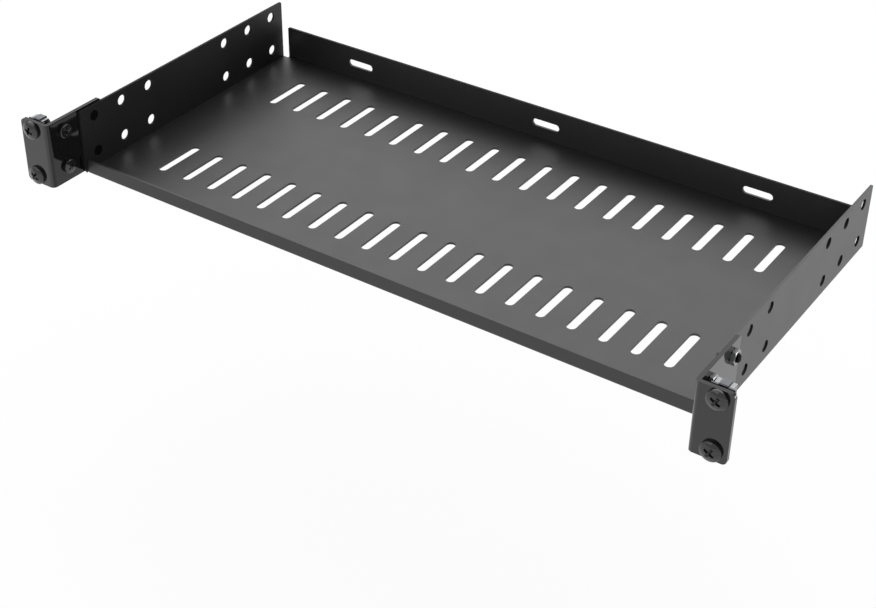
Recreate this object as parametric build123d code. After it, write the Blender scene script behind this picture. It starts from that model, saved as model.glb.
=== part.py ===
from build123d import *
import os

# Vented shelf, one rack unit high, for a 19 inch equipment rack. Millimetres.
# The origin is the centre of the four rack screws, in the plane of the bracket
# flanges' rear faces. +X is to the right seen from the front, +Y to the back, +Z up.

# Rack standard
rack_unit_height = 44.45
panel_width = 482.6
screw_side_margin = 8.75
rack_screw_spacing_z = 31.75
rail_sheet = 2.0
rail_hole_side = 9.5

# Folded tray
tray_depth = 202.5
tray_height = 43.3
tray_drop = 0.3
tray_setback = 24.5
tray_sheet = 1.5
tray_bend_radius = 0.2
lip_height = 9.8
back_flange_height = 24.2
lip_end_gap = 2.0
flange_end_gap = 4.0
wall_rear_relief = 2.9
relief_depth = 3.0
free_corner_radius = 1.0
edge_tolerance = 0.01

# Openings in the tray
slot_count = 19
slot_pitch = 20.0
slot_length = 36.0
slot_width = 6.0
slot_front_margin = 45.5
slot_back_margin = 46.0
back_slot_count = 3
back_slot_pitch = 150.0
back_slot_length = 20.0
back_slot_width = 5.0
back_slot_height = 11.2
wall_hole_diameter = 7.0
hole_pitch = 25.0
hole_end_margin = 12.0
hole_top_margin = 7.4
hole_columns_per_group = 3
hole_row_count = 2

# Bent brackets
flange_width = 21.85
bracket_height = 43.8
bracket_sheet = 2.5
bracket_bend_radius = 0.5
bracket_overlap = 20.0
bracket_corner_radius = 3.0
leg_corner_radius = 1.5
bracket_slot_length = 12.0
bracket_slot_width = 6.8
leg_hole_diameter = 5.5
leg_hole_columns = 2

# Cross-recessed machine screws
rack_thread = 6.0
rack_screw_length = 14.0
rack_head_diameter = 12.5
rack_head_height = 3.6
rack_head_rim = 1.0
rack_head_top_diameter = 7.6
rack_recess_span = 6.8
rack_recess_width = 1.4
rack_recess_depth = 2.4
side_thread = 5.0
side_screw_length = 7.0
side_head_diameter = 9.5
side_head_height = 2.6
side_head_rim = 0.8
side_head_top_diameter = 5.8
side_recess_span = 5.0
side_recess_width = 1.1
side_recess_depth = 1.6
stud_length = 8.0
thread_clearance = 0.05

# Nuts and the spring cages that hold the square ones
side_nut_width = 8.0
side_nut_height = 2.7
nut_corner_chamfer = 0.5
square_nut_width = 10.2
square_nut_height = 5.0
cage_sheet = 0.7
cage_plate_width = 13.0
cage_plate_height = 11.8
cage_hole_diameter = 7.6
cage_clearance = 0.1
cage_hook = 1.2
prong_width = 5.0

# Sizes that follow. The tray hangs lower than its rack unit by tray_drop.
bottom_z = -rack_unit_height / 2 - tray_drop
top_z = bottom_z + tray_height
floor_z = bottom_z + tray_sheet
tray_front = tray_setback
tray_back = tray_front + tray_depth
flange_outer_x = panel_width / 2
wall_outer_x = flange_outer_x - flange_width
wall_inner_x = wall_outer_x - tray_sheet
tray_outer_radius = tray_bend_radius + tray_sheet
lip_end_x = wall_inner_x - lip_end_gap
flange_end_x = wall_inner_x - flange_end_gap
wall_rear = tray_back - wall_rear_relief
first_column_y = tray_front + hole_end_margin
last_column_y = wall_rear - hole_end_margin
upper_row_z = top_z - hole_top_margin
slot_row_y = (tray_front + slot_front_margin, tray_back - slot_back_margin)
leg_outer_x = wall_outer_x + bracket_sheet
leg_rear = tray_front + bracket_overlap
screw_x = flange_outer_x - screw_side_margin
screw_z = rack_screw_spacing_z / 2


def row_heights():
    """Heights of the rows of wall holes, the upper row first."""
    return [upper_row_z - row * hole_pitch for row in range(hole_row_count)]


def wall_columns():
    """Distances from the mounting plane of the columns of wall holes."""
    steps = [column * hole_pitch for column in range(hole_columns_per_group)]
    return [first_column_y + step for step in steps] + [last_column_y - step for step in steps]


def leg_columns():
    """Columns of holes in a bracket's leg. The last one meets the tray's first column."""
    return [first_column_y - step * hole_pitch for step in reversed(range(leg_hole_columns))]


def bent_strip(start, corners, end, sheet, inner_radius):
    """Closed outline of a sheet that runs from start to end and is folded at each corner.

    The path is the sheet's outer side, and the sheet lies to the left of it.
    """
    path = FilletPolyline(start, *corners, end, radius=inner_radius + sheet)
    inner = offset(path, sheet, side=Side.LEFT, closed=True)
    return make_face(inner)


def side_walls_and_floor():
    """The tray's floor with its two side walls, folded up from one strip."""
    section = Plane.XZ * bent_strip(
        (-wall_outer_x, top_z),
        [(-wall_outer_x, bottom_z), (wall_outer_x, bottom_z)],
        (wall_outer_x, top_z),
        tray_sheet,
        tray_bend_radius,
    )
    body = Pos(0, tray_front, 0) * extrude(section, amount=wall_rear - tray_front, dir=(0, 1, 0))
    relief_half = wall_outer_x - tray_outer_radius
    relief = Pos(0, tray_front + relief_depth / 2, bottom_z) * Box(
        2 * relief_half, relief_depth, 4 * tray_sheet
    )
    return body - relief


def lip_floor_and_flange():
    """The tray's floor with the low front lip and the back flange, folded up."""
    section = Plane.YZ * bent_strip(
        (tray_front, bottom_z + lip_height),
        [(tray_front, bottom_z), (tray_back, bottom_z)],
        (tray_back, bottom_z + back_flange_height),
        tray_sheet,
        tray_bend_radius,
    )
    strip = Pos(-lip_end_x, 0, 0) * extrude(section, amount=2 * lip_end_x, dir=(1, 0, 0))
    corner_width = 2 * (lip_end_x - flange_end_x)
    corner = Box(corner_width, 2 * wall_rear_relief, 4 * back_flange_height)
    return strip - [Pos(sign * lip_end_x, tray_back, 0) * corner for sign in (1, -1)]


def round_free_corners(tray):
    """Rounds the corners of the walls, the lip and the back flange in their own plane."""
    sheet_edges = tray.edges().filter_by(lambda edge: abs(edge.length - tray_sheet) < edge_tolerance)
    wall_corners = sheet_edges.filter_by(Axis.X).group_by(Axis.Z)[-1]
    end_edges = sheet_edges.filter_by(Axis.Y)
    lip_corners = end_edges.group_by(Axis.Y)[0].group_by(Axis.Z)[-1]
    flange_corners = end_edges.group_by(Axis.Y)[-1].group_by(Axis.Z)[-1]
    return fillet(wall_corners + lip_corners + flange_corners, free_corner_radius)


def floor_slots():
    """Two rows of ventilation slots that run front to back."""
    slot = extrude(SlotOverall(slot_length, slot_width, rotation=90), amount=2 * tray_sheet, both=True)
    first = -slot_pitch * (slot_count - 1) / 2
    return [Pos(first + i * slot_pitch, y, floor_z) * slot for y in slot_row_y for i in range(slot_count)]


def back_slots():
    """Slots along the back flange for tying cables."""
    outline = Plane.XZ * SlotOverall(back_slot_length, back_slot_width)
    slot = extrude(outline, amount=2 * tray_sheet, both=True)
    first = -back_slot_pitch * (back_slot_count - 1) / 2
    height = floor_z + back_slot_height
    return [Pos(first + i * back_slot_pitch, tray_back, height) * slot for i in range(back_slot_count)]


def wall_holes():
    """Round holes on a square pitch, drilled through both side walls at once."""
    drill = Rot(0, 90, 0) * Cylinder(wall_hole_diameter / 2, panel_width)
    return [Pos(0, y, z) * drill for y in wall_columns() for z in row_heights()]


def make_tray():
    tray = side_walls_and_floor() + lip_floor_and_flange()
    tray = round_free_corners(tray)
    return tray - floor_slots() - back_slots() - wall_holes()


def make_bracket(side):
    """One bracket: a flange in front of the rack and a leg along the tray's wall."""
    outline = bent_strip(
        (wall_outer_x, leg_rear),
        [(wall_outer_x, -bracket_sheet)],
        (flange_outer_x, -bracket_sheet),
        bracket_sheet,
        bracket_bend_radius,
    )
    bracket = Pos(0, 0, -bracket_height / 2) * extrude(outline, amount=bracket_height)
    flange_corners = bracket.edges().filter_by(Axis.Y).group_by(Axis.X)[-1]
    bracket = fillet(flange_corners, bracket_corner_radius)
    leg_corners = bracket.edges().filter_by(Axis.X).group_by(Axis.Y)[-1]
    bracket = fillet(leg_corners, leg_corner_radius)
    slot = extrude(
        Plane.XZ * SlotOverall(bracket_slot_length, bracket_slot_width),
        amount=2 * bracket_sheet,
        both=True,
    )
    drill = Rot(0, 90, 0) * Cylinder(leg_hole_diameter / 2, 4 * bracket_sheet)
    bracket -= [Pos(screw_x, 0, z) * slot for z in (screw_z, -screw_z)]
    bracket -= [Pos(wall_outer_x, y, z) * drill for y in leg_columns() for z in row_heights()]
    return bracket if side > 0 else bracket.mirror(Plane.YZ)


def make_screw(thread, length, head, recess):
    """Pan head screw along +Z. The underside of its head lies in the plane Z = 0.

    head is its diameter, height, rim and top diameter. recess is the cross's span,
    width and depth.
    """
    diameter, height, rim, top_diameter = head
    span, width, depth = recess
    corners = [(diameter / 2, 0), (diameter / 2, -rim), (top_diameter / 2, -height)]
    profile = make_face(Polyline((0, 0), *corners, (0, -height), close=True))
    body = revolve(Plane.XZ * profile, Axis.Z)
    body += Pos(0, 0, length / 2) * Cylinder(thread / 2, length)
    cross = Rectangle(span, width) + Rectangle(width, span)
    return body - Pos(0, 0, -height) * extrude(cross, amount=depth)


def make_rack_screw():
    head = (rack_head_diameter, rack_head_height, rack_head_rim, rack_head_top_diameter)
    recess = (rack_recess_span, rack_recess_width, rack_recess_depth)
    return make_screw(rack_thread, rack_screw_length, head, recess)


def make_side_screw():
    head = (side_head_diameter, side_head_height, side_head_rim, side_head_top_diameter)
    recess = (side_recess_span, side_recess_width, side_recess_depth)
    return make_screw(side_thread, side_screw_length, head, recess)


def make_tray_stud():
    """Clinch stud along +Z. Its disc fills a wall hole, from Z = 0 to the sheet's other face."""
    disc_radius = wall_hole_diameter / 2 - thread_clearance
    disc = Pos(0, 0, tray_sheet / 2) * Cylinder(disc_radius, tray_sheet)
    return disc + Pos(0, 0, stud_length / 2) * Cylinder(side_thread / 2, stud_length)


def make_side_nut():
    """Thin hexagon nut along +Z from the plane Z = 0."""
    outline = RegularPolygon(side_nut_width / 2, 6, major_radius=False)
    body = extrude(outline, amount=side_nut_height)
    return body - Cylinder(side_thread / 2 + thread_clearance, 4 * side_nut_height)


def make_square_nut():
    """Square nut along +Z from the plane Z = 0."""
    body = extrude(Rectangle(square_nut_width, square_nut_width), amount=square_nut_height)
    body = chamfer(body.edges().filter_by(Axis.Z), nut_corner_chamfer)
    return body - Cylinder(rack_thread / 2 + thread_clearance, 4 * square_nut_height)


def make_cage():
    """Spring cage along +Z from the plane Z = 0, just behind the rear face of the rail.

    Two prongs reach forward into the rail's square hole. Two arms run back past
    the nut and hook over its rear face.
    """
    cage = extrude(Rectangle(cage_plate_width, cage_plate_height), amount=cage_sheet)
    cage -= Cylinder(cage_hole_diameter / 2, 4 * cage_sheet)
    prong_x = rail_hole_side / 2 - cage_clearance - cage_sheet / 2
    prong_reach = rail_sheet + cage_sheet
    prong = Pos(0, 0, cage_sheet - prong_reach / 2) * Box(cage_sheet, prong_width, prong_reach)
    arm_z = square_nut_width / 2 + cage_clearance + cage_sheet / 2
    arm_length = square_nut_height + 2 * cage_clearance + 2 * cage_sheet
    arm = Pos(0, 0, arm_length / 2) * Box(prong_width, cage_sheet, arm_length)
    hook_z = arm_length - cage_sheet / 2
    hook_y = cage_sheet / 2 + cage_hook / 2
    for sign in (1, -1):
        cage += Pos(sign * prong_x, 0, 0) * prong
        cage += Pos(0, sign * arm_z, 0) * arm
        cage += Pos(0, sign * (arm_z - hook_y), hook_z) * Box(prong_width, cage_hook, cage_sheet)
    return cage


def facing_back(x, y, z):
    """Place whose local Z runs to the back of the rack and whose local X is +X."""
    return Plane(origin=(x, y, z), x_dir=(1, 0, 0), z_dir=(0, 1, 0)).location


def facing_out(side, x, y, z):
    """Place on the left or right flank whose local Z points away from the tray."""
    return Plane(origin=(side * x, y, z), x_dir=(0, 1, 0), z_dir=(side, 0, 0)).location


def rack_fasteners(side_name, side):
    """Screw, square nut and cage at each of the flange's two slots."""
    cage_y = rail_sheet + cage_clearance
    square_nut_y = cage_y + cage_sheet + cage_clearance
    pieces = {}
    for height_name, z in (("upper", screw_z), ("lower", -screw_z)):
        x = side * screw_x
        place = f"{side_name}_{height_name}"
        pieces[f"rack_screw_{place}"] = facing_back(x, -bracket_sheet, z) * make_rack_screw()
        pieces[f"square_nut_{place}"] = facing_back(x, square_nut_y, z) * make_square_nut()
        pieces[f"nut_cage_{place}"] = facing_back(x, cage_y, z) * make_cage()
    return pieces


def side_fasteners(side_name, side):
    """Screws at the leg's front holes, studs of the tray at its rear ones, and their nuts."""
    pieces = {}
    front_y, rear_y = leg_columns()
    for height_name, z in zip(("upper", "lower"), row_heights()):
        place = f"{side_name}_{height_name}"
        pieces[f"side_screw_{place}"] = facing_out(side, wall_outer_x, front_y, z) * make_side_screw()
        pieces[f"screw_nut_{place}"] = facing_out(side, leg_outer_x, front_y, z) * make_side_nut()
        pieces[f"tray_stud_{place}"] = facing_out(side, wall_inner_x, rear_y, z) * make_tray_stud()
        pieces[f"stud_nut_{place}"] = facing_out(side, leg_outer_x, rear_y, z) * make_side_nut()
    return pieces


def make_parts():
    parts = {"shelf_tray": make_tray()}
    for side_name, side in (("left", -1), ("right", 1)):
        parts[f"{side_name}_bracket"] = make_bracket(side)
        parts.update(rack_fasteners(side_name, side))
        parts.update(side_fasteners(side_name, side))
    return parts


os.makedirs("parts", exist_ok=True)
for part_name, part in make_parts().items():
    export_step(part, f"parts/{part_name}.step")
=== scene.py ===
import math

import bmesh
import bpy
from mathutils import Matrix, Vector


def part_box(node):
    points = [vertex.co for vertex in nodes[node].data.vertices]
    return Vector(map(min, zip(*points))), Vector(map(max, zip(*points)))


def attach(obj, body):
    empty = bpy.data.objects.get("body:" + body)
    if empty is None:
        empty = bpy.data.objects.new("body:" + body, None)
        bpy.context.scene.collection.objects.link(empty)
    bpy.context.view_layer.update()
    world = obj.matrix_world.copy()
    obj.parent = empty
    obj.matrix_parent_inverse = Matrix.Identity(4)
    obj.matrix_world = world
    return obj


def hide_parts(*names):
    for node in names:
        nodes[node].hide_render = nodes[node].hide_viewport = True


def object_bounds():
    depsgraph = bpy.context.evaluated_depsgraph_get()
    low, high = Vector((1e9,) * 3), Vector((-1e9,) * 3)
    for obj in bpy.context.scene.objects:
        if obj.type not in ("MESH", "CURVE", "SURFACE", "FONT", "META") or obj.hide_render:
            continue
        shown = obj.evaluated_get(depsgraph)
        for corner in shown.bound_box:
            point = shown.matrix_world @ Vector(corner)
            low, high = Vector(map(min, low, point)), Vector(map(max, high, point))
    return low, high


# A vented rack shelf with its brackets and screws, lit in a plain studio. The CAD
# sheets stay as they are and only get their coats. The screws, studs, nuts and cages
# are built here with their domes, cross recesses, threads and rounded bends.

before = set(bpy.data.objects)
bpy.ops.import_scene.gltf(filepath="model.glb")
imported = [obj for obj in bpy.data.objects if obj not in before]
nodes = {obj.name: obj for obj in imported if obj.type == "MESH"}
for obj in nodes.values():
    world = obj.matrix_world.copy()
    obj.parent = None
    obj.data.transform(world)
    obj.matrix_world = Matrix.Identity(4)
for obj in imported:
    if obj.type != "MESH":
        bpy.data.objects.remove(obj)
cad_low, cad_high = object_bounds()

MM = 0.001
SIDES = {"left": -1, "right": 1}
HEIGHTS = ("upper", "lower")
RIGHTWARD = (1, 0, 0)
REARWARD = (0, 1, 0)
UPWARD = (0, 0, 1)

# Fasteners, in millimetres and degrees. A recess reaches that far from its middle.
RACK_SCREW = {
    "radius": 3.0,
    "pitch": 1.0,
    "head_radius": 6.05,
    "head_height": 3.4,
    "edge_slope": 32,
    "recess_reach": 3.5,
    "recess_half_width": 0.75,
    "recess_depth": 2.3,
}
SIDE_SCREW = {
    "radius": 2.5,
    "pitch": 0.8,
    "head_radius": 4.6,
    "head_height": 2.6,
    "edge_slope": 12,
    "recess_reach": 2.6,
    "recess_half_width": 0.6,
    "recess_depth": 1.6,
}
STUD = {"radius": 2.5, "pitch": 0.8, "disc_height": 1.5, "disc_edge": 0.12}
CAGE = {
    "sheet": 0.7,
    "bend_radius": 0.5,
    "plate_width": 13.0,
    "plate_height": 11.8,
    "hole_radius": 3.8,
    "prong_x": 4.3,
    "prong_reach": 2.0,
    "prong_inset": 0.5,
    "strip_width": 5.0,
    "arm_length": 6.6,
    "hook": 1.2,
}

# How far each cross recess happens to be turned, in degrees
RACK_SCREW_TURNS = {"left_upper": 20, "left_lower": 35, "right_upper": 30, "right_lower": 30}
SIDE_SCREW_TURNS = {"left_upper": 10, "left_lower": 55, "right_upper": 25, "right_lower": 70}

# A pan head's foot is broken by so much across and along. The middle point of its
# rounded rim is given in shares of the rim.
HEAD_FOOT = (0.15, 0.12)
HEAD_RIM = 0.2
HEAD_RIM_MIDDLE = (0.25, 0.3)
DOME_STEPS = 12

# A recess narrows from its mouth over its waist to its tip: shares of its reach and width.
# The cutter rises above the head, and the waist lies at a share of the depth.
RECESS_SHARES = ((1.08, 1.15), (0.62, 0.85), (0.22, 0.22))
RECESS_RISE = 0.4
RECESS_WAIST = 0.72
QUARTER_TURNS = ((1, 0), (0, 1), (-1, 0), (0, -1))

# A thread's depth, its half widths at root and crest and its overrun past the shank's end
# are shares of the pitch, and its height at either end is a share of its depth. The play
# is what a nut's bore and a plain neck keep from the crest.
THREAD_DEPTH = 0.61
THREAD_ROOT = 0.46
THREAD_CREST = 0.06
THREAD_OVERRUN = 0.15
THREAD_SINK = 0.04
THREAD_PLAY = 0.05
THREAD_FADE_TURNS = 0.25
THREAD_END_HEIGHT = 0.02
SHANK_SINK = 0.05
SHANK_TIP = 0.5
SCREW_NECK = {"end": 0.5, "thread": 0.6, "core": 0.9}
STUD_NECK = {"end": 0.3, "thread": 0.3, "core": 0.6}

# A hexagon nut's flat face is a share of its half width, and its corners slope in degrees.
# A block has a mouth round its bore and broken edges.
NUT_MOUTH = 0.35
NUT_FACE = 0.97
NUT_SLOPE = 30
SQUARE_NUT_MOUTH, SQUARE_NUT_EDGE = 0.4, 0.3
CAGE_MOUTH, CAGE_EDGE = 0.1, 0.08

ROUND_STEPS = 64
THREAD_STEPS = 48
NUT_STEPS = 72
BEND_STEPS = 6
TINY = 1e-6


# Meshes

def mesh_object(name, bm):
    """Turns a bmesh in millimetres into an object in metres."""
    bmesh.ops.recalc_face_normals(bm, faces=bm.faces)
    bmesh.ops.scale(bm, vec=(MM, MM, MM), verts=bm.verts)
    mesh = bpy.data.meshes.new(name)
    bm.to_mesh(mesh)
    bm.free()
    obj = bpy.data.objects.new(name, mesh)
    bpy.context.scene.collection.objects.link(obj)
    return obj


def smooth(obj, angle=35):
    """Smooth shading, with creases sharper than the angle kept."""
    obj.data.polygons.foreach_set("use_smooth", [True] * len(obj.data.polygons))
    bm = bmesh.new()
    bm.from_mesh(obj.data)
    for edge in bm.edges:
        creased = len(edge.link_faces) == 2 and edge.calc_face_angle(0) > math.radians(angle)
        edge.smooth = not creased
    bm.to_mesh(obj.data)
    bm.free()
    return obj


def join(obj, other):
    """Joins the other's mesh into the object's."""
    bm = bmesh.new()
    bm.from_mesh(obj.data)
    bm.from_mesh(other.data)
    bpy.data.objects.remove(other)
    bm.to_mesh(obj.data)
    bm.free()


def cut(obj, cutter):
    """Cuts the cutter out of the object and removes it."""
    modifier = obj.modifiers.new("recess", "BOOLEAN")
    modifier.operation = "DIFFERENCE"
    modifier.solver = "EXACT"
    modifier.object = cutter
    graph = bpy.context.evaluated_depsgraph_get()
    mesh = bpy.data.meshes.new_from_object(obj.evaluated_get(graph))
    obj.modifiers.clear()
    obj.data = mesh
    bpy.data.objects.remove(cutter)


def even_angles(steps):
    return [2 * math.pi * i / steps for i in range(steps)]


def each(value, count):
    """A list as it is, or a number once for each."""
    return value if isinstance(value, list) else [value] * count


def ring(bm, radii, heights, angles):
    """Points round Z, one for each angle, at one or several radii and heights."""
    spots = zip(each(radii, len(angles)), each(heights, len(angles)), angles)
    return [bm.verts.new((r * math.cos(a), r * math.sin(a), z)) for r, z, a in spots]


def wrap(bm, loops):
    """Joins each loop of points to the next one."""
    for loop, following in zip(loops, loops[1:]):
        for i in range(len(loop)):
            j = (i + 1) % len(loop)
            bm.faces.new((loop[i], loop[j], following[j], following[i]))


def tube(bm, loops):
    """Joins each loop of points to the next one and closes both ends."""
    wrap(bm, loops)
    bm.faces.new(loops[0][::-1])
    bm.faces.new(loops[-1])


def lathe(bm, profile):
    """Revolves (radius, height) points round Z. A radius of zero closes the form."""
    angles = even_angles(ROUND_STEPS)
    rings = []
    for radius, height in profile:
        rings.append(ring(bm, radius, height, angles if radius else [0]))
    for near, far in zip(rings, rings[1:]):
        for i in range(ROUND_STEPS):
            a, b = near[i % len(near)], near[(i + 1) % len(near)]
            c, d = far[(i + 1) % len(far)], far[i % len(far)]
            bm.faces.new(list(dict.fromkeys([a, b, c, d])))


# Screws and studs

def thread_ridge(bm, radius, pitch, start, end):
    """A V-shaped helical ridge with its crest at the radius. It fades out at both ends."""
    depth = THREAD_DEPTH * pitch
    root = radius - depth - THREAD_SINK
    root_half, crest_half = THREAD_ROOT * pitch, THREAD_CREST * pitch
    turns = (end - start) / pitch - 1
    count = int(turns * THREAD_STEPS)
    sections = []
    for i in range(count + 1):
        angle = 2 * math.pi * i / THREAD_STEPS
        rise = start + pitch * (0.5 + i / THREAD_STEPS)
        fade = min(1, min(i, count - i) / THREAD_STEPS / THREAD_FADE_TURNS)
        crest = radius - depth * (1 - max(fade, THREAD_END_HEIGHT))
        radii = [root, crest, crest, root]
        heights = [rise - root_half, rise - crest_half, rise + crest_half, rise + root_half]
        sections.append(ring(bm, radii, heights, [angle] * 4))
    tube(bm, sections)


def add_shank(bm, front, size, seat, neck, length):
    """Revolves the front's points with a shank behind the seat, and winds its thread on."""
    radius, pitch = size["radius"], size["pitch"]
    core = radius - THREAD_DEPTH * pitch
    plain = radius - THREAD_PLAY
    back = [
        (plain, seat + neck["end"]),
        (core, seat + neck["core"]),
        (core, length - SHANK_TIP),
        (core - SHANK_TIP, length),
        (0, length),
    ]
    lathe(bm, front + back)
    thread_ridge(bm, radius, pitch, seat + neck["thread"], length + THREAD_OVERRUN * pitch)


def head_profile(size):
    """Pan head above its underside at zero: an upright rim and a dome like a ball's cap."""
    radius, height = size["head_radius"], size["head_height"]
    slope = math.radians(size["edge_slope"])
    ball = radius / math.sin(slope)
    rim = height - ball * (1 - math.cos(slope))
    foot_across, foot_along = HEAD_FOOT
    middle_across, middle_along = HEAD_RIM_MIDDLE
    points = [
        (radius - foot_across, 0),
        (radius, -foot_along),
        (radius, HEAD_RIM - rim),
        (radius - middle_across * HEAD_RIM, middle_along * HEAD_RIM - rim),
    ]
    for i in range(DOME_STEPS):
        angle = slope * (1 - i / DOME_STEPS) * (radius - HEAD_RIM) / radius
        points.append((ball * math.sin(angle), -height + ball * (1 - math.cos(angle))))
    return points + [(0, -height)]


def recess_cutter(size):
    """Four tapered flutes that meet in a point, as a cross-shaped plug."""
    surface, depth = -size["head_height"], size["recess_depth"]
    heights = (surface - RECESS_RISE, surface + RECESS_WAIST * depth, surface + depth)
    bm = bmesh.new()
    loops = []
    for height, (reach_share, width_share) in zip(heights, RECESS_SHARES):
        reach = size["recess_reach"] * reach_share
        half = size["recess_half_width"] * width_share
        flute = [(reach, -half), (reach, half), (half, half)]
        outline = [(x * c - y * s, x * s + y * c) for c, s in QUARTER_TURNS for x, y in flute]
        loops.append([bm.verts.new((x, y, height)) for x, y in outline])
    tube(bm, loops)
    return mesh_object("recess_cutter", bm)


def screw(name, size, length, turn):
    """Pan head screw along +Z with its head's underside at zero."""
    bm = bmesh.new()
    lathe(bm, [(0, 0)] + head_profile(size))
    obj = mesh_object(name, bm)
    cutter = recess_cutter(size)
    cutter.rotation_euler = (0, 0, math.radians(turn))
    bpy.context.view_layer.update()
    cut(obj, cutter)
    bm = bmesh.new()
    front = [(0, -SHANK_SINK), (size["radius"] - THREAD_PLAY, -SHANK_SINK)]
    add_shank(bm, front, size, 0, SCREW_NECK, length)
    join(obj, mesh_object(name + "_shank", bm))
    return smooth(obj)


def stud(name, size, disc_radius, length):
    """Clinch stud along +Z: a flush disc at zero and a threaded shank."""
    seat, edge = size["disc_height"], size["disc_edge"]
    disc = [
        (0, 0),
        (disc_radius - edge, 0),
        (disc_radius, edge),
        (disc_radius, seat),
        (size["radius"] - THREAD_PLAY, seat),
    ]
    bm = bmesh.new()
    add_shank(bm, disc, size, seat, STUD_NECK, length)
    return smooth(mesh_object(name, bm))


# Nuts and cages

def hexagon_nut(name, width, height, bore):
    """Hexagon nut along +Z, its corners turned off at both faces."""
    flat = width / 2
    face = NUT_FACE * flat
    mouth = bore + NUT_MOUTH
    angles = even_angles(NUT_STEPS)
    folded = [(a + math.pi / 6) % (math.pi / 3) - math.pi / 6 for a in angles]
    outline = [flat / math.cos(a) for a in folded]
    drops = [(r - face) * math.tan(math.radians(NUT_SLOPE)) for r in outline]
    rises = [height - drop for drop in drops]
    levels = [
        (bore, NUT_MOUTH),
        (mouth, 0),
        (face, 0),
        (outline, drops),
        (outline, rises),
        (face, height),
        (mouth, height),
        (bore, height - NUT_MOUTH),
    ]
    bm = bmesh.new()
    rings = [ring(bm, radii, heights, angles) for radii, heights in levels]
    wrap(bm, rings + rings[:1])
    return smooth(mesh_object(name, bm), angle=20)


def bored_block(bm, half_x, half_y, height, bore, mouth, edge):
    """Rectangular block from Z = 0 up with a bore along Z and broken edges."""
    corner = math.atan2(half_y, half_x)
    corners = [corner, math.pi - corner, math.pi + corner, 2 * math.pi - corner]
    angles = sorted({round(a, 4) for a in even_angles(NUT_STEPS) + corners})
    to_sides = [half_x / max(abs(math.cos(a)), TINY) for a in angles]
    to_ends = [half_y / max(abs(math.sin(a)), TINY) for a in angles]
    outline = [min(pair) for pair in zip(to_sides, to_ends)]
    inset = [r - edge for r in outline]
    levels = [
        (bore, mouth),
        (bore + mouth, 0),
        (inset, 0),
        (outline, edge),
        (outline, height - edge),
        (inset, height),
        (bore + mouth, height),
        (bore, height - mouth),
    ]
    rings = [ring(bm, radii, z, angles) for radii, z in levels]
    wrap(bm, rings + rings[:1])


def square_nut(name, width, height, bore):
    """Square nut along +Z."""
    bm = bmesh.new()
    half = width / 2
    bored_block(bm, half, half, height, bore, SQUARE_NUT_MOUTH, SQUARE_NUT_EDGE)
    return smooth(mesh_object(name, bm), angle=25)


def rounded_path(path, radius):
    """The path with each right-angled corner turned into an arc."""
    turns = [math.pi / 2 * i / BEND_STEPS for i in range(BEND_STEPS + 1)]
    points = [path[0]]
    for before, corner, after in zip(path, path[1:], path[2:]):
        back, on = (before - corner).normalized(), (after - corner).normalized()
        middle = corner + (back + on) * radius
        for turn in turns:
            points.append(middle - on * radius * math.cos(turn) - back * radius * math.sin(turn))
    return points + [path[-1]]


def bent_strip(bm, path, along_x, width, sheet, radius):
    """Strip of sheet along a path in Z and either X or Y, centred on the other axis."""
    half = width / 2
    points = rounded_path([Vector(point) for point in path], radius)
    loops = []
    for i, point in enumerate(points):
        behind, ahead = points[max(i - 1, 0)], points[min(i + 1, len(points) - 1)]
        heading = (ahead - behind).normalized()
        side = Vector((-heading.y, heading.x)) * sheet / 2
        upper, lower = point + side, point - side
        corners = [(upper, half), (upper, -half), (lower, -half), (lower, half)]
        spots = [(p.x, across, p.y) if along_x else (across, p.x, p.y) for p, across in corners]
        loops.append([bm.verts.new(spot) for spot in spots])
    tube(bm, loops)


def nut_cage(name, size):
    """Spring cage along +Z: a bored plate, two prongs to the front, two hooked arms behind."""
    sheet, radius, width = size["sheet"], size["bend_radius"], size["strip_width"]
    half_x, half_y = size["plate_width"] / 2, size["plate_height"] / 2
    middle = sheet / 2
    arm_y = half_y - middle
    arm_end = size["arm_length"] - middle
    bm = bmesh.new()
    bored_block(bm, half_x, arm_y - radius, sheet, size["hole_radius"], CAGE_MOUTH, CAGE_EDGE)
    for sign in (1, -1):
        prong = [
            (sign * size["prong_x"], -size["prong_reach"]),
            (sign * size["prong_x"], middle),
            (sign * (half_x - size["prong_inset"]), middle),
        ]
        bent_strip(bm, prong, True, width, sheet, radius)
        arm = [
            (sign * size["hole_radius"], middle),
            (sign * arm_y, middle),
            (sign * arm_y, arm_end),
            (sign * (arm_y - middle - size["hook"]), arm_end),
        ]
        bent_strip(bm, arm, False, width, sheet, radius)
    return smooth(mesh_object(name, bm), angle=25)


# Materials

NOISE_LOW, NOISE_HIGH = 0.3, 0.7
PATCH_SCALE = 45
TINT_SPREAD = 0.14
BEVEL_SAMPLES = 4
STREAK_BUMP = {"strength": 0.5, "depth": 0.01}
STREAK_GLOSS = (0.7, 1.4)


def new_material(name, base, roughness, specular=0.5):
    """A material with its shader's plain values set on the shader itself."""
    material = bpy.data.materials.new(name)
    material.use_nodes = True
    shader = material.node_tree.nodes["Principled BSDF"]
    shader.inputs["Base Color"].default_value = (*base, 1)
    shader.inputs["Roughness"].default_value = roughness
    shader.inputs["Specular IOR Level"].default_value = specular
    return material, material.node_tree, shader


def add_noise(tree, scale, detail):
    """Noise that stays with the object."""
    noise = tree.nodes.new("ShaderNodeTexNoise")
    noise.inputs["Scale"].default_value = scale
    noise.inputs["Detail"].default_value = detail
    coordinates = tree.nodes.new("ShaderNodeTexCoord")
    tree.links.new(coordinates.outputs["Object"], noise.inputs["Vector"])
    return noise.outputs["Fac"]


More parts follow.
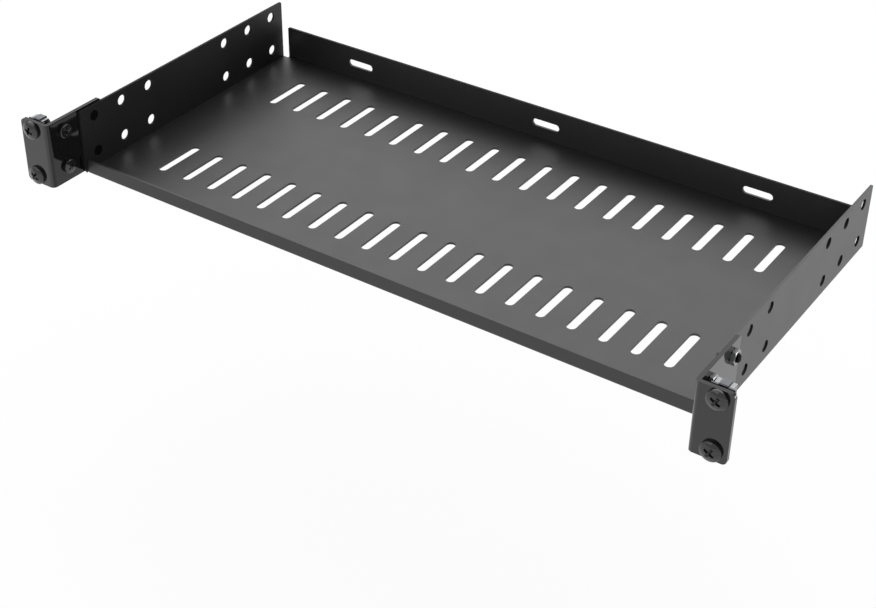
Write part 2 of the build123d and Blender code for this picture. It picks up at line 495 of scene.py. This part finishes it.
def map_range(tree, noise, low, high):
    """The noise's usual span stretched from the low to the high value."""
    node = tree.nodes.new("ShaderNodeMapRange")
    node.inputs["From Min"].default_value = NOISE_LOW
    node.inputs["From Max"].default_value = NOISE_HIGH
    node.inputs["To Min"].default_value = low
    node.inputs["To Max"].default_value = high
    tree.links.new(noise, node.inputs["Value"])
    return node.outputs["Result"]


def add_bump(tree, shader, height, strength, depth):
    """A bump from the height, its depth in millimetres, on the shader's normal."""
    bump = tree.nodes.new("ShaderNodeBump")
    bump.inputs["Strength"].default_value = strength
    bump.inputs["Distance"].default_value = depth * MM
    tree.links.new(height, bump.inputs["Height"])
    tree.links.new(bump.outputs["Normal"], shader.inputs["Normal"])
    return bump


def painted(name, base, roughness, spread, specular, grain_scale, grain_depth, edge_radius):
    """Paint or powder coat: fine grain in its bump, slight variation in colour and gloss."""
    material, tree, shader = new_material(name, base, roughness, specular)
    patches = add_noise(tree, PATCH_SCALE, detail=3)
    uneven = map_range(tree, patches, roughness - spread, roughness + spread)
    tree.links.new(uneven, shader.inputs["Roughness"])
    colour = tree.nodes.new("ShaderNodeMix")
    colour.data_type = "RGBA"
    colour.inputs["A"].default_value = (*[(1 - TINT_SPREAD) * c for c in base], 1)
    colour.inputs["B"].default_value = (*[(1 + TINT_SPREAD) * c for c in base], 1)
    tree.links.new(patches, colour.inputs["Factor"])
    tree.links.new(colour.outputs["Result"], shader.inputs["Base Color"])
    grain = add_noise(tree, grain_scale, detail=2)
    bump = add_bump(tree, shader, grain, 1, grain_depth)
    bevel = tree.nodes.new("ShaderNodeBevel")
    bevel.samples = BEVEL_SAMPLES
    bevel.inputs["Radius"].default_value = edge_radius * MM
    tree.links.new(bevel.outputs["Normal"], bump.inputs["Normal"])
    return material


def plated(name, base, roughness, streak_scale):
    """Bare or plated steel with faint brushed streaks."""
    material, tree, shader = new_material(name, base, roughness)
    shader.inputs["Metallic"].default_value = 1
    streaks = add_noise(tree, streak_scale, detail=4)
    glossiest, dullest = [roughness * share for share in STREAK_GLOSS]
    uneven = map_range(tree, streaks, glossiest, dullest)
    tree.links.new(uneven, shader.inputs["Roughness"])
    add_bump(tree, shader, streaks, **STREAK_BUMP)
    return material


# Painted light and shade by place, as specular level worked out by math nodes

def calculate(tree, operation, first, second=0.0):
    """A math node's result. Each value is a number or another node's output."""
    node = tree.nodes.new("ShaderNodeMath")
    node.operation = operation
    for entry, value in zip(node.inputs, (first, second)):
        if isinstance(value, float):
            entry.default_value = value
        else:
            tree.links.new(value, entry)
    return node.outputs[0]


def above(value, limit):
    """A test for all_of, as are below and the two of between."""
    return value, "GREATER_THAN", limit


def below(value, limit):
    return value, "LESS_THAN", limit


def between(value, low, high):
    return above(value, low), below(value, high)


def all_of(tree, *tests):
    """1 where every test holds, else 0."""
    result = None
    for value, operation, limit in tests:
        held = calculate(tree, operation, value, limit)
        result = held if result is None else calculate(tree, "MULTIPLY", result, held)
    return result


def changed(tree, value, mask, change):
    """The value times one plus the change, where the mask is 1."""
    share = calculate(tree, "MULTIPLY", mask, change)
    return calculate(tree, "MULTIPLY", value, calculate(tree, "ADD", share, 1.0))


def set_painted_light_and_shade(material, find_light_and_shade):
    """Links the shader's specular level to what the given function makes of place and true
    normal, which paints light and shade by place.
    """
    tree = material.node_tree
    geometry = tree.nodes.new("ShaderNodeNewGeometry")
    vectors = []
    for output in ("Position", "True Normal"):
        split = tree.nodes.new("ShaderNodeSeparateXYZ")
        tree.links.new(geometry.outputs[output], split.inputs[0])
        vectors.append(split.outputs)
    shader = tree.nodes["Principled BSDF"]
    tree.links.new(find_light_and_shade(tree, *vectors), shader.inputs["Specular IOR Level"])


# A face looks along an axis where its normal's part there is above FACING, and lies
# along X where the normal's part in X is below FLAT. The lengths are in metres, from
# the tray's faces or from the brackets' tops.
FACING = 0.7
FLAT = 0.5
TRAY_SHEET = 1.5 * MM
EDGE_REACH = 0.45 * MM
EDGE_FOOT = 2.025 * MM
EDGE_TOP = 0.275 * MM
TOP_EDGE_END = 9.45 * MM
WALL_REACH = 0.95 * MM
LIP_REACH = 0.7 * MM
FLANGE_REACH = 2.0 * MM
BEND_ACROSS = (-0.25 * MM, 0.05 * MM)
BEND_RISE = (-0.015 * MM, 0.225 * MM)
BRACKET_TOP_REACH = 0.4 * MM

# Gloss at the origin, its drift for each metre, and its changes as shares. Drift and
# changes are painted light and shade: the sheet brighter towards the front and the right,
# darker cut edges and top edges, painted shade in the holes, in the inner bends and on the
# left wall's inner face, painted light on the right wall, the lip and the back flange. The
# flange's left change grows from none at the middle.
TRAY_GLOSS_AND_LIGHT_DRIFT = {"origin": 0.63, "rightward": 0.2, "rearward": -0.25}
TRAY_PAINTED_LIGHT_AND_SHADE = {
    "edges": -0.83,
    "left_wall": -0.42,
    "right_wall": 0.52,
    "lip": 0.13,
    "flange": 0.1,
    "flange_left": 0.4,
}
FLANGE_LEFT_SLOPE = -5.0
# The bracket's changes darken the top edges and paint light and shade on the left bracket:
# painted shade on the leg's inner face, painted light on the flange's front.
BRACKET_GLOSS = 0.68
BRACKET_PAINTED_LIGHT_AND_SHADE = {"top": -0.56, "left_top": -0.5, "left_leg": -0.4, "left_flange": 0.11}


def tray_shaded_edges(tree, spot, normal):
    """1 on the walls' cut edges, the left and rear top edges and the inner bends. These get
    darker: painted shade in the holes and bends.
    """
    low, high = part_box("shelf_tray")
    wall, back = high.x - TRAY_SHEET, high.y - TRAY_SHEET
    ground = low.z + TRAY_SHEET
    outside = calculate(tree, "ABSOLUTE", spot["X"])
    sideways = calculate(tree, "ABSOLUTE", normal["X"])
    wall_edges = all_of(
        tree,
        above(outside, wall - EDGE_REACH),
        below(sideways, FLAT),
        above(spot["Y"], low.y + TRAY_SHEET),
        *between(spot["Z"], ground + EDGE_FOOT, high.z - EDGE_TOP),
    )
    top_edges = all_of(
        tree,
        below(spot["X"], high.x - TOP_EDGE_END),
        above(spot["Z"], 0.0),
        above(normal["Z"], FACING),
    )
    bend_heights = between(spot["Z"], *[ground + rise for rise in BEND_RISE])
    side_bends, back_bend = [
        all_of(tree, *between(value, *[face + across for across in BEND_ACROSS]), *bend_heights)
        for value, face in ((outside, wall), (spot["Y"], back))
    ]
    edges = calculate(tree, "MAXIMUM", wall_edges, top_edges)
    bends = calculate(tree, "MAXIMUM", side_bends, back_bend)
    return calculate(tree, "MAXIMUM", edges, bends)


def tray_painted_light_and_shade(tree, spot, normal):
    """Painted light and shade as specular level: least on cut edges, top edges and inner bends,
    and drifting slightly over the sheet.
    """
    low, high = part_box("shelf_tray")
    rightward = above(normal["X"], FACING)
    forward = below(normal["Y"], -FACING)
    inner_left = low.x + TRAY_SHEET + WALL_REACH
    inner_back = high.y - TRAY_SHEET - FLANGE_REACH
    flange = all_of(tree, above(spot["Y"], inner_back), forward)
    leftness = calculate(tree, "MULTIPLY", spot["X"], FLANGE_LEFT_SLOPE)
    leftness = calculate(tree, "MAXIMUM", leftness, 0.0)
    masks = {
        "edges": tray_shaded_edges(tree, spot, normal),
        "left_wall": all_of(tree, below(spot["X"], inner_left), rightward),
        "right_wall": all_of(tree, above(spot["X"], high.x - EDGE_REACH), rightward),
        "lip": all_of(tree, below(spot["Y"], low.y + LIP_REACH), forward),
        "flange": flange,
        "flange_left": calculate(tree, "MULTIPLY", flange, leftness),
    }
    along = calculate(tree, "MULTIPLY", spot["X"], TRAY_GLOSS_AND_LIGHT_DRIFT["rightward"])
    across = calculate(tree, "MULTIPLY", spot["Y"], TRAY_GLOSS_AND_LIGHT_DRIFT["rearward"])
    drift = calculate(tree, "ADD", along, across)
    gloss = calculate(tree, "ADD", drift, TRAY_GLOSS_AND_LIGHT_DRIFT["origin"])
    for part, change in TRAY_PAINTED_LIGHT_AND_SHADE.items():
        gloss = changed(tree, gloss, masks[part], change)
    return gloss


def bracket_painted_light_and_shade(tree, spot, normal):
    """Less on the top edges, which makes them darker. On the left bracket, painted shade on the
    leg's inner face and painted light on the flange's front.
    """
    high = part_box("left_bracket")[1]
    left = below(spot["X"], 0.0)
    top = (above(spot["Z"], high.z - BRACKET_TOP_REACH), above(normal["Z"], FACING))
    masks = {
        "top": all_of(tree, *top),
        "left_top": all_of(tree, *top, left),
        "left_leg": all_of(tree, left, above(normal["X"], FACING)),
        "left_flange": all_of(tree, left, below(normal["Y"], -FACING)),
    }
    gloss = BRACKET_GLOSS
    for part, change in BRACKET_PAINTED_LIGHT_AND_SHADE.items():
        gloss = changed(tree, gloss, masks[part], change)
    return gloss


tray_coat = painted(
    "tray_coat",
    base=(0.0066, 0.0066, 0.0068),
    roughness=0.46,
    spread=0.02,
    specular=0.6,
    grain_scale=1500,
    grain_depth=0.012,
    edge_radius=0.08,
)
set_painted_light_and_shade(tray_coat, tray_painted_light_and_shade)
bracket_coat = painted(
    "bracket_coat",
    base=(0.003, 0.003, 0.0031),
    roughness=0.07,
    spread=0.015,
    specular=BRACKET_GLOSS,
    grain_scale=900,
    grain_depth=0.0006,
    edge_radius=0.12,
)
set_painted_light_and_shade(bracket_coat, bracket_painted_light_and_shade)
screw_coat = painted(
    "screw_coat",
    base=(0.006, 0.006, 0.0062),
    roughness=0.10,
    spread=0.03,
    specular=0.7,
    grain_scale=1200,
    grain_depth=0.001,
    edge_radius=0.08,
)
# Darker and duller than the screws' coat: the studs' black oxide together with painted shade for
# their dark ends in the wall's holes.
stud_coat_and_shade = painted(
    "stud_coat_and_shade",
    base=(0.0012, 0.0012, 0.0012),
    roughness=0.6,
    spread=0.05,
    specular=0.06,
    grain_scale=1200,
    grain_depth=0.002,
    edge_radius=0.08,
)
zinc = plated("zinc", base=(0.24, 0.243, 0.25), roughness=0.30, streak_scale=900)
spring_steel = plated(
    "spring_steel", base=(0.11, 0.112, 0.12), roughness=0.34, streak_scale=600
)


# The folded sheets keep their CAD form

def recoat(node, material):
    slots = nodes[node].data.materials
    slots.clear()
    slots.append(material)


recoat("shelf_tray", tray_coat)
for side in SIDES:
    recoat(f"{side}_bracket", bracket_coat)


# The fasteners take their places and lengths from the CAD nodes that they stand for

def place(obj, origin, x_axis, z_axis):
    """Puts a piece built along +Z where its local X and Z run along the given axes."""
    x, z = Vector(x_axis).normalized(), Vector(z_axis).normalized()
    y = z.cross(x)
    matrix = Matrix((x, y, z)).transposed().to_4x4()
    matrix.translation = Vector(origin)
    obj.data.transform(matrix)
    obj.data.update()


def dress(obj, node, material):
    """Lets a piece stand for a CAD node."""
    obj.data.materials.clear()
    obj.data.materials.append(material)
    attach(obj, "root")
    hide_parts(node)


def centre(node):
    low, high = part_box(node)
    return (low + high) / 2


def inner_and_outer(node, sign):
    """The X of a node's end towards the tray and of its other end."""
    low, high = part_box(node)
    return (high.x, low.x) if sign < 0 else (low.x, high.x)


def add_rack_screw(key, seat):
    node = f"rack_screw_{key}"
    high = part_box(node)[1]
    middle = centre(node)
    length = (high.y - seat) / MM
    piece = screw(f"rack_screw_detail_{key}", RACK_SCREW, length, RACK_SCREW_TURNS[key])
    place(piece, (middle.x, seat, middle.z), RIGHTWARD, REARWARD)
    dress(piece, node, screw_coat)


def add_square_nut(key):
    node = f"square_nut_{key}"
    low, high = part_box(node)
    axis = centre(f"rack_screw_{key}")
    width, height = (high.x - low.x) / MM, (high.y - low.y) / MM
    bore = RACK_SCREW["radius"] + THREAD_PLAY
    piece = square_nut(f"square_nut_detail_{key}", width, height, bore)
    place(piece, (axis.x, low.y, axis.z), RIGHTWARD, REARWARD)
    dress(piece, node, zinc)


def add_nut_cage(key):
    node = f"nut_cage_{key}"
    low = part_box(node)[0]
    axis = centre(f"rack_screw_{key}")
    plate_y = low.y + CAGE["prong_reach"] * MM
    piece = nut_cage(f"nut_cage_detail_{key}", CAGE)
    place(piece, (axis.x, plate_y, axis.z), RIGHTWARD, REARWARD)
    dress(piece, node, spring_steel)


def add_side_screw(key, sign):
    node = f"side_screw_{key}"
    middle = centre(node)
    inner, outer = inner_and_outer(node, sign)
    seat = inner + sign * SIDE_SCREW["head_height"] * MM
    length = abs(outer - seat) / MM
    piece = screw(f"side_screw_detail_{key}", SIDE_SCREW, length, SIDE_SCREW_TURNS[key])
    place(piece, (seat, middle.y, middle.z), REARWARD, (sign, 0, 0))
    dress(piece, node, screw_coat)


def add_tray_stud(key, sign):
    node = f"tray_stud_{key}"
    low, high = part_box(node)
    middle = centre(node)
    inner, outer = inner_and_outer(node, sign)
    disc_radius = (high.y - low.y) / 2 / MM
    piece = stud(f"tray_stud_detail_{key}", STUD, disc_radius, abs(outer - inner) / MM)
    place(piece, (inner, middle.y, middle.z), REARWARD, (sign, 0, 0))
    dress(piece, node, stud_coat_and_shade)


def add_hexagon_nut(kind, key, sign):
    node = f"{kind}_nut_{key}"
    low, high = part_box(node)
    middle = centre(node)
    inner = inner_and_outer(node, sign)[0]
    width, height = (high.z - low.z) / MM, (high.x - low.x) / MM
    bore = STUD["radius"] + THREAD_PLAY
    piece = hexagon_nut(f"{kind}_nut_detail_{key}", width, height, bore)
    place(piece, (inner, middle.y, middle.z), UPWARD, (sign, 0, 0))
    dress(piece, node, zinc)


for side, sign in SIDES.items():
    bracket_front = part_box(f"{side}_bracket")[0].y
    for height in HEIGHTS:
        add_rack_screw(f"{side}_{height}", bracket_front)
        add_square_nut(f"{side}_{height}")
        add_nut_cage(f"{side}_{height}")
    for height in HEIGHTS:
        add_side_screw(f"{side}_{height}", sign)
        add_tray_stud(f"{side}_{height}", sign)
        for kind in ("screw", "stud"):
            add_hexagon_nut(kind, f"{side}_{height}", sign)


# Studio

WHITE = (1, 1, 1, 1)
FLOOR_DROP = 0.20
FLOOR_HALF_WIDTH = 6000
FLOOR_GREY = 0.86
FLOOR_GLOW = 0.9
ROOM_LIGHT = 0.7
LIGHT_TARGET = (0, 0.1, 0)


def white_surface(name, colour, glow):
    """Pale matt surface that camera and reflections see nearly white, and that keeps shadows."""
    material, tree, shader = new_material(name, (colour, colour, colour), 1, 0)
    light = tree.nodes.new("ShaderNodeEmission")
    light.inputs["Color"].default_value = WHITE
    light.inputs["Strength"].default_value = 1
    rays = tree.nodes.new("ShaderNodeLightPath").outputs
    seen = calculate(tree, "MAXIMUM", rays["Is Camera Ray"], rays["Is Glossy Ray"])
    seen = calculate(tree, "MAXIMUM", seen, rays["Is Transmission Ray"])
    mix = tree.nodes.new("ShaderNodeMixShader")
    tree.links.new(calculate(tree, "MULTIPLY", seen, glow), mix.inputs["Fac"])
    tree.links.new(shader.outputs["BSDF"], mix.inputs[1])
    tree.links.new(light.outputs["Emission"], mix.inputs[2])
    tree.links.new(mix.outputs["Shader"], tree.nodes["Material Output"].inputs["Surface"])
    return material


def add_floor():
    bm = bmesh.new()
    bmesh.ops.create_grid(bm, x_segments=1, y_segments=1, size=FLOOR_HALF_WIDTH)
    floor = mesh_object("studio_floor", bm)
    floor.location.z = cad_low.z - FLOOR_DROP
    floor.data.materials.append(white_surface("studio_floor", FLOOR_GREY, FLOOR_GLOW))


def add_room():
    """A room that lights softly and that the camera sees as plain white."""
    world = bpy.data.worlds.new("studio")
    bpy.context.scene.world = world
    world.use_nodes = True
    tree = world.node_tree
    lit = tree.nodes["Background"]
    lit.inputs["Color"].default_value = WHITE
    lit.inputs["Strength"].default_value = ROOM_LIGHT
    seen = tree.nodes.new("ShaderNodeBackground")
    seen.inputs["Color"].default_value = WHITE
    seen.inputs["Strength"].default_value = 1
    rays = tree.nodes.new("ShaderNodeLightPath").outputs
    mix = tree.nodes.new("ShaderNodeMixShader")
    tree.links.new(rays["Is Camera Ray"], mix.inputs["Fac"])
    tree.links.new(lit.outputs["Background"], mix.inputs[1])
    tree.links.new(seen.outputs["Background"], mix.inputs[2])
    tree.links.new(mix.outputs["Shader"], tree.nodes["World Output"].inputs["Surface"])


def area_light(name, location, size, power):
    """A soft rectangular light aimed at the shelf."""
    light = bpy.data.lights.new(name, "AREA")
    light.shape = "RECTANGLE"
    light.size, light.size_y = size
    light.energy = power
    obj = bpy.data.objects.new(name, light)
    bpy.context.scene.collection.objects.link(obj)
    obj.location = location
    direction = Vector(LIGHT_TARGET) - Vector(location)
    obj.rotation_euler = direction.to_track_quat("-Z", "Y").to_euler()


add_floor()
add_room()
area_light("back_light", (-0.8, 1.95, 1.85), size=(4.2, 3.3), power=65)
area_light("front_light", (-1.15, -1.65, 1.3), size=(2.5, 1.8), power=11.5)
area_light("right_light", (1.5, 0.9, -0.1), size=(1.0, 0.6), power=11.5)


# The photograph's view, found by fitting the rack screws, the hole grid and the tray's edges

AZIMUTH = 34.994
ELEVATION = 33.327
ROLL = 0.042
FOCAL_PIXELS = 1642.57
IMAGE_WIDTH, IMAGE_HEIGHT = 876, 608
CENTRE_PIXEL = (411.92, 258.76)
CAMERA_PLACE = (0.46880, -0.59616, 0.50538)
SENSOR_WIDTH = 36
CLIP_START, CLIP_END = 0.05, 30


def turned(angle, axis):
    return Matrix.Rotation(math.radians(angle), 4, axis)


def add_camera():
    data = bpy.data.cameras.new("camera")
    data.sensor_width = SENSOR_WIDTH
    data.lens = FOCAL_PIXELS * SENSOR_WIDTH / IMAGE_WIDTH
    data.shift_x = (IMAGE_WIDTH / 2 - CENTRE_PIXEL[0]) / IMAGE_WIDTH
    data.shift_y = (CENTRE_PIXEL[1] - IMAGE_HEIGHT / 2) / IMAGE_WIDTH
    data.clip_start, data.clip_end = CLIP_START, CLIP_END
    camera = bpy.data.objects.new("camera", data)
    bpy.context.scene.collection.objects.link(camera)
    bpy.context.scene.camera = camera
    turn = turned(AZIMUTH, "Z") @ turned(90 - ELEVATION, "X") @ turned(ROLL, "Z")
    camera.matrix_world = Matrix.Translation(CAMERA_PLACE) @ turn


add_camera()
bpy.context.scene.view_settings.view_transform = "Standard"
